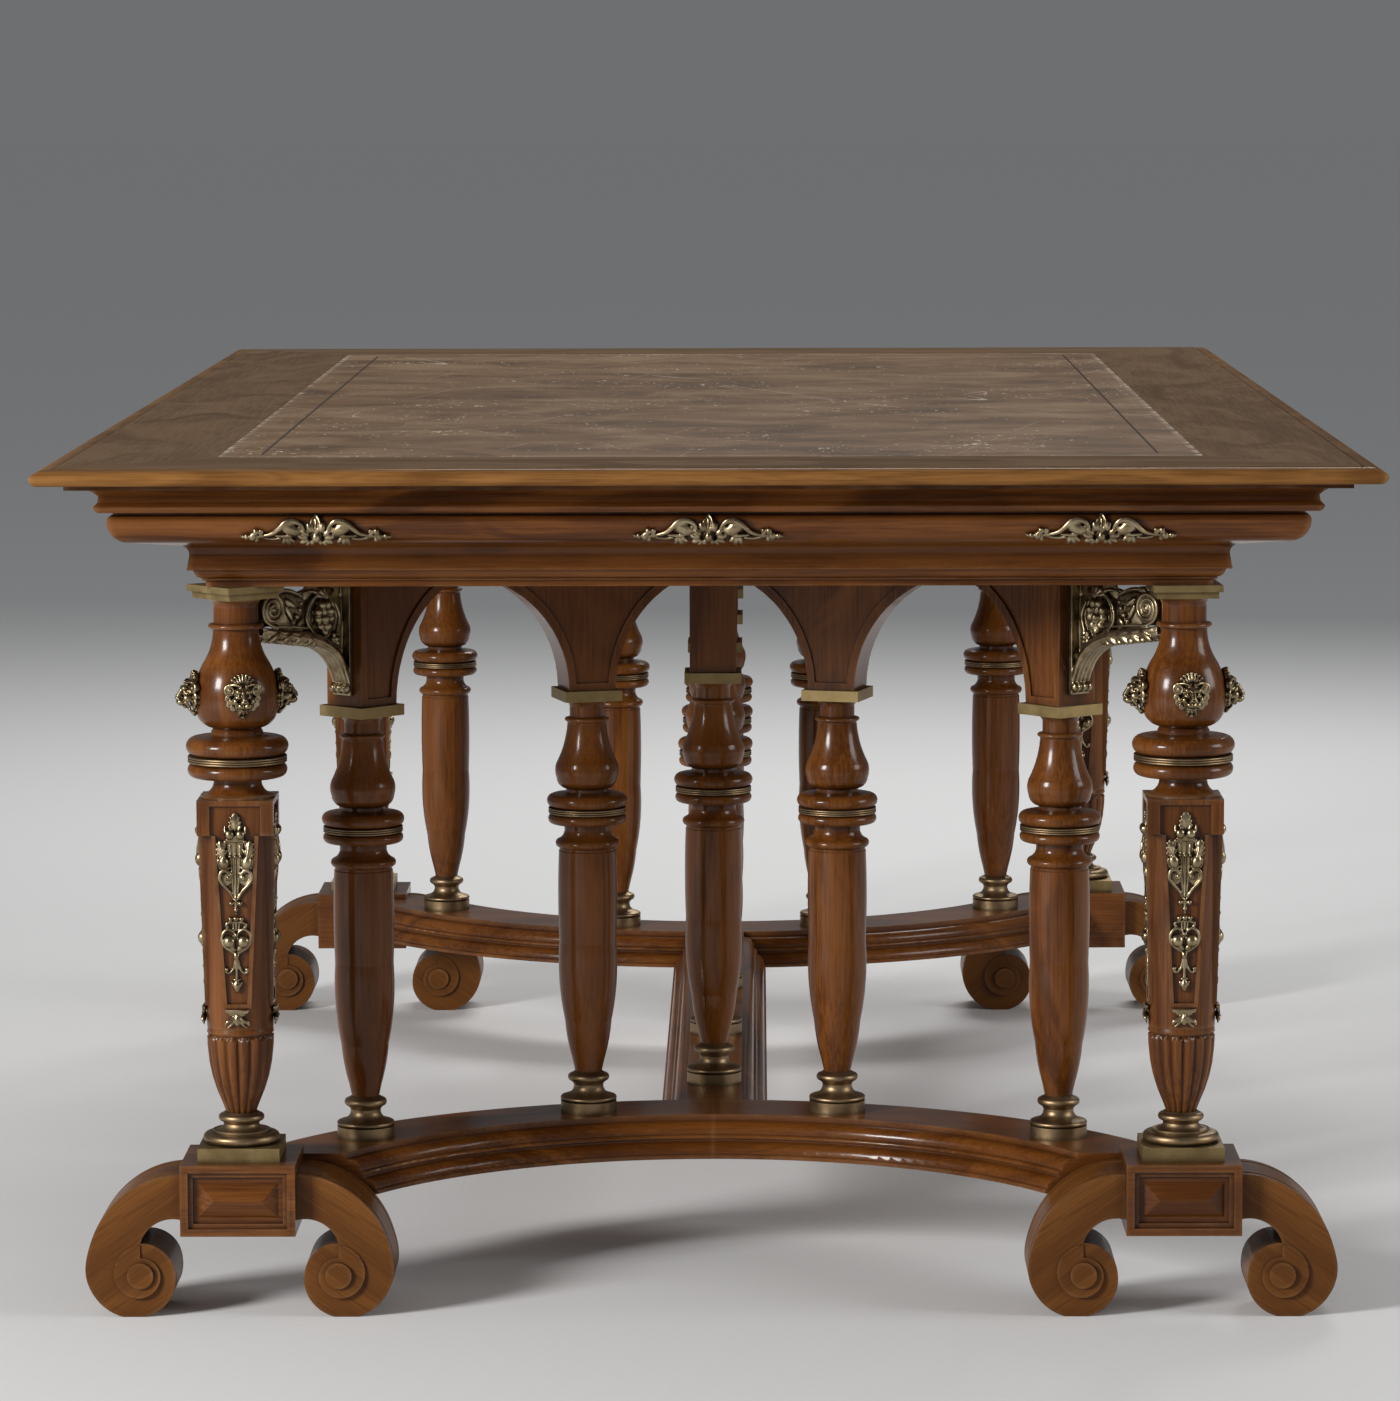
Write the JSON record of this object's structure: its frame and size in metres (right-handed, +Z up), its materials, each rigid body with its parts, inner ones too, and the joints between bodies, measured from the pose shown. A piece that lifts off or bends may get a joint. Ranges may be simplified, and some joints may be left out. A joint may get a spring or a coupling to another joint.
{
  "type": "library table",
  "caption": "Rectangular walnut library table with a leather-lined top, cushion frieze, panelled corner legs on scroll feet and arcaded column stretchers.",
  "frame": {"origin": "on the floor under the centre of the table", "axes": "+Z up, +Y along the length, +X across the width; the short end in the picture faces -Y"},
  "size_m": [1.17, 1.99, 0.77],
  "materials": {
    "walnut": "polished reddish-brown walnut",
    "brass": "aged gilt brass",
    "leather": "worn grey-brown leather",
    "iron": "dull iron"
  },
  "bodies": {
    "root": {"column_abaci": "brass", "column_back_1": "walnut", "column_back_2": "walnut", "column_back_3": "walnut", "column_back_4": "walnut", "column_bases": "brass", "column_centre_1": "walnut", "column_centre_2": "walnut", "column_centre_3": "walnut", "column_centre_4": "walnut", "column_front_1": "walnut", "column_front_2": "walnut", "column_front_3": "walnut", "column_front_4": "walnut", "column_rings": "brass", "cornice_mouldings": "walnut", "cross_bearers": "walnut", "foot_block_back_left": "walnut", "foot_block_back_right": "walnut", "foot_block_front_left": "walnut", "foot_block_front_right": "walnut", "foot_scrolls_back_left": "walnut", "foot_scrolls_back_right": "walnut", "foot_scrolls_front_left": "walnut", "foot_scrolls_front_right": "walnut", "frieze_mounts": "brass", "frieze_rail_back": "walnut", "frieze_rail_front": "walnut", "frieze_rail_left": "walnut", "frieze_rail_right": "walnut", "herm_mounts": "brass", "leather_inset": "leather", "leg_bases": "brass", "leg_capitals": "brass", "leg_cups": "walnut", "leg_herm_back_left": "walnut", "leg_herm_back_right": "walnut", "leg_herm_front_left": "walnut", "leg_herm_front_right": "walnut", "leg_plinths": "brass", "leg_rings": "brass", "leg_vase_back_left": "walnut", "leg_vase_back_right": "walnut", "leg_vase_front_left": "walnut", "leg_vase_front_right": "walnut", "lion_masks": "brass", "scroll_brackets": "brass", "soffit_panel": "walnut", "springers": "walnut", "stretcher_back_left": "walnut", "stretcher_back_right": "walnut", "stretcher_centre": "walnut", "stretcher_front_left": "walnut", "stretcher_front_right": "walnut", "tie_bolts": "iron", "top_panel": "walnut", "top_rail_back": "walnut", "top_rail_front": "walnut", "top_rail_left": "walnut", "top_rail_right": "walnut"}
  },
  "joints": []
}
